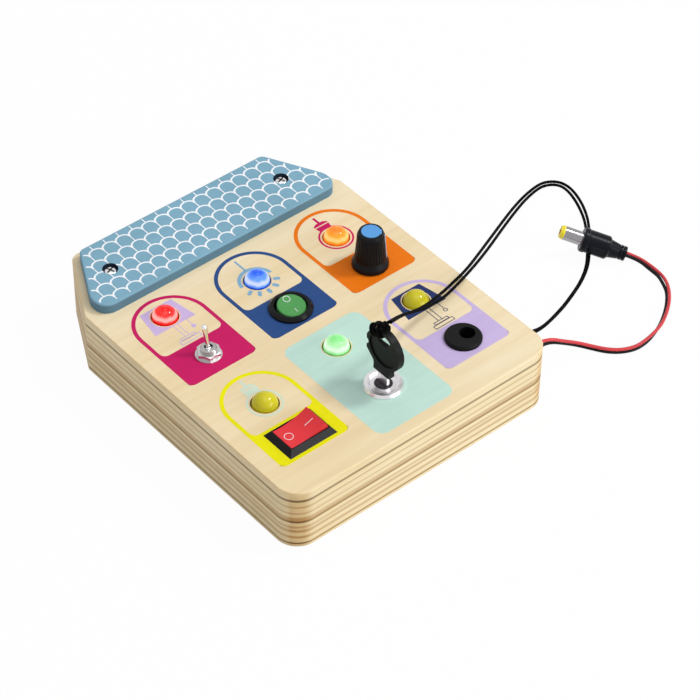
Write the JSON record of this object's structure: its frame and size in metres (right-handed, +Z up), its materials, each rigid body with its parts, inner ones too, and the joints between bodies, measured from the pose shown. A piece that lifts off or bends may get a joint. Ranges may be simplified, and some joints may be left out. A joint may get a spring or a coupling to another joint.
{
  "type": "wooden switch busy board",
  "caption": "House-shaped wooden busy board for small children: coloured lamps, each worked by its own switch, dimmer, key or plug, on a screwed plywood box.",
  "frame": {"origin": "middle of the box underside", "axes": "+X to the right along the roof plate, +Y from the front edge towards the roof, +Z up through the control panel"},
  "size_m": [0.2071, 0.1511, 0.0563],
  "materials": {
    "plywood": "satin lacquered birch",
    "roof_blue": "satin paint",
    "screw_steel": "polished",
    "case_screw_zinc": "zinc plated",
    "switch_steel": "polished",
    "black_plastic": "fine satin",
    "gloss_black": "gloss",
    "red_cap": "gloss",
    "green_cap": "satin",
    "blue_cap": "satin",
    "lamp_red": "clear tinted",
    "lamp_blue": "clear tinted",
    "lamp_orange": "clear tinted",
    "lamp_green": "clear tinted",
    "lamp_yellow": "clear tinted",
    "white_plastic": "satin",
    "tinned_metal": "tinned",
    "brass": "plain",
    "cell_wrap": "printed film",
    "red_wire": "satin",
    "black_wire": "satin",
    "inner_wire": "satin",
    "cord": "braided",
    "plug_yellow": "satin"
  },
  "bodies": {
    "root": {"battery_cells": "cell_wrap", "battery_contacts": "tinned_metal", "battery_cover": "plywood", "battery_tray": "black_plastic", "black_wire": "black_wire", "bottom_panel": "plywood", "case_screws": "case_screw_zinc", "cover_screw": "case_screw_zinc", "dimmer_body": "tinned_metal", "dimmer_bushing": "brass", "dimmer_nut": "switch_steel", "lamp_blue": "lamp_blue", "lamp_green": "lamp_green", "lamp_holders": "white_plastic", "lamp_leads": "tinned_metal", "lamp_orange": "lamp_orange", "lamp_red": "lamp_red", "lamp_wires": "inner_wire", "lamp_yellow_left": "lamp_yellow", "lamp_yellow_right": "lamp_yellow", "lanyard_stop_knot": "cord", "lanyard_strand_a": "cord", "lanyard_strand_b": "cord", "lever_back_nut": "switch_steel", "lever_bushing": "switch_steel", "lever_nut": "switch_steel", "lever_switch_body": "black_plastic", "lever_washer": "switch_steel", "lock_barrel": "switch_steel", "lock_contact_block": "black_plastic", "lock_nut": "switch_steel", "lower_frame": "plywood", "plug_barrel": "switch_steel", "plug_body": "black_plastic", "plug_strain_relief": "black_plastic", "plug_tip": "plug_yellow", "red_wire": "red_wire", "rocker_housing": "gloss_black", "roof_plate": "roof_blue", "roof_screws": "screw_steel", "round_switch_housing": "gloss_black", "socket_housing": "black_plastic", "socket_nut": "switch_steel", "socket_pin": "switch_steel", "socket_spring": "tinned_metal", "solder_tabs": "tinned_metal", "supply_wires": "inner_wire", "top_panel": "plywood", "upper_frame": "plywood"},
    "lever": {"lever": "switch_steel"},
    "round_cap": {"round_switch_cap": "green_cap"},
    "rocker_cap": {"rocker_cap": "red_cap"},
    "knob": {"dimmer_shaft": "tinned_metal", "knob": "black_plastic", "knob_cap": "blue_cap"},
    "tether": {"lanyard_knot": "cord"},
    "key": {"key_blade": "switch_steel", "key_head": "black_plastic", "lanyard_hitch": "cord"},
    "lock_cylinder": {"lock_cylinder": "switch_steel"}
  },
  "joints": [
    {"name": "lever_tilt", "type": "hinge", "parent": "root", "child": "lever", "pos_m": [-0.0377, 0.0006, 0.0286], "axis": [1, 0, 0], "range_deg": [0, 26]},
    {"name": "round_cap_rock", "type": "hinge", "parent": "root", "child": "round_cap", "pos_m": [0, 0.0006, 0.0257], "axis": [-1, 0, 0], "range_deg": [0, 18]},
    {"name": "rocker_cap_rock", "type": "hinge", "parent": "root", "child": "rocker_cap", "pos_m": [-0.0377, -0.0507, 0.0262], "axis": [0, 1, 0], "range_deg": [0, 20]},
    {"name": "knob_turn", "type": "hinge", "parent": "root", "child": "knob", "pos_m": [0.0377, 0.0006, 0.0262], "axis": [0, 0, 1], "range_deg": [-17, 283]},
    {"name": "key_pull", "type": "slide", "parent": "root", "child": "tether", "axis": [0, 0, 1], "range_m": [0, 0.013], "deforming": ["lanyard_strand_a", "lanyard_strand_b"]},
    {"name": "key_turn", "type": "hinge", "parent": "tether", "child": "key", "pos_m": [0, -0.0507, 0.0262], "axis": [0, 0, 1], "range_deg": [0, 90]},
    {"name": "cylinder_turn", "type": "hinge", "parent": "root", "child": "lock_cylinder", "pos_m": [0, -0.0507, 0.0262], "axis": [0, 0, 1], "range_deg": [0, 90]}
  ],
  "couplings": [
    {"joint": "cylinder_turn", "follows": "key_turn", "ratio": 1}
  ]
}
